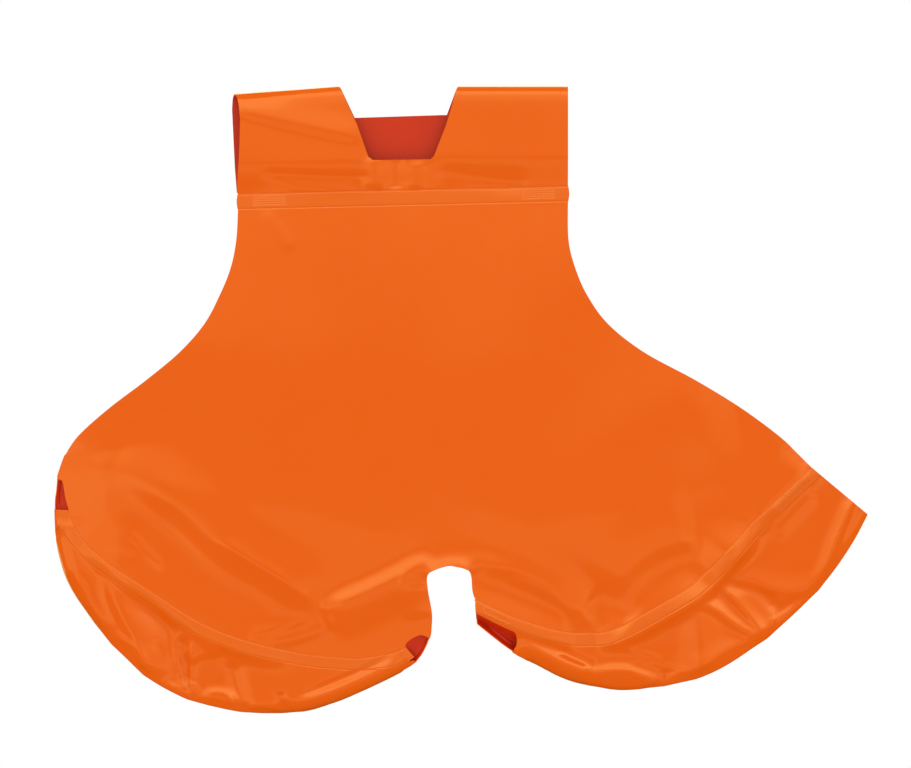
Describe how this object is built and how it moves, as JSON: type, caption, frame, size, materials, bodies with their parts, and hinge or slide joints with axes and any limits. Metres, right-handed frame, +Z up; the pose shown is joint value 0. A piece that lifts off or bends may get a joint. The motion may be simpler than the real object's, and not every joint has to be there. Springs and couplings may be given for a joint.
{
  "type": "harness seat protector",
  "caption": "Hanging glossy plastic sheet protector with a tube-shaped belt sleeve, a flaring seat panel and two leg lobes whose hems are folded into sleeves.",
  "frame": {"origin": "middle of the belt tunnel, where the waist belt holds the protector", "axes": "+X along the belt tunnel, to the right seen from the outer side; +Y towards the wearer; +Z up"},
  "size_m": [0.7279, 0.064, 0.561],
  "materials": {
    "sheet": "smooth glossy orange PVC sheet",
    "weld": "pressed weld band in the same PVC",
    "tack": "cross-hatched weld stamp in the same PVC"
  },
  "bodies": {
    "belt_sleeve": {"sleeve_front_wall": "sheet", "sleeve_back_wall": "sheet", "waist_weld_seam": "weld", "waist_tack_left": "tack", "waist_tack_right": "tack"},
    "seat": {"seat_panel": "sheet", "crotch_bridge": "sheet"},
    "left_leg": {"left_leg_panel": "sheet", "left_leg_weld_seam": "weld", "left_leg_sleeve_front": "sheet", "left_leg_sleeve_back": "sheet"},
    "right_leg": {"right_leg_panel": "sheet", "right_leg_weld_seam": "weld", "right_leg_sleeve_front": "sheet", "right_leg_sleeve_back": "sheet", "right_leg_tack_inner": "tack", "right_leg_tack_outer": "tack"}
  },
  "joints": [
    {"name": "waist_fold", "type": "hinge", "parent": "belt_sleeve", "child": "seat", "pos_m": [0, 0, -0.0613], "axis": [0.9997, 0, 0.024], "range_deg": [-60, 90], "stiffness_Nm_per_rad": 0.02},
    {"name": "left_leg_fold", "type": "hinge", "parent": "seat", "child": "left_leg", "pos_m": [0.035, 0, -0.368], "axis": [0.9721, 0, -0.2345], "range_deg": [-30, 84], "stiffness_Nm_per_rad": 0.02},
    {"name": "right_leg_fold", "type": "hinge", "parent": "seat", "child": "right_leg", "pos_m": [0.05, 0, -0.368], "axis": [0.9729, 0, 0.2311], "range_deg": [-30, 84], "stiffness_Nm_per_rad": 0.02}
  ]
}
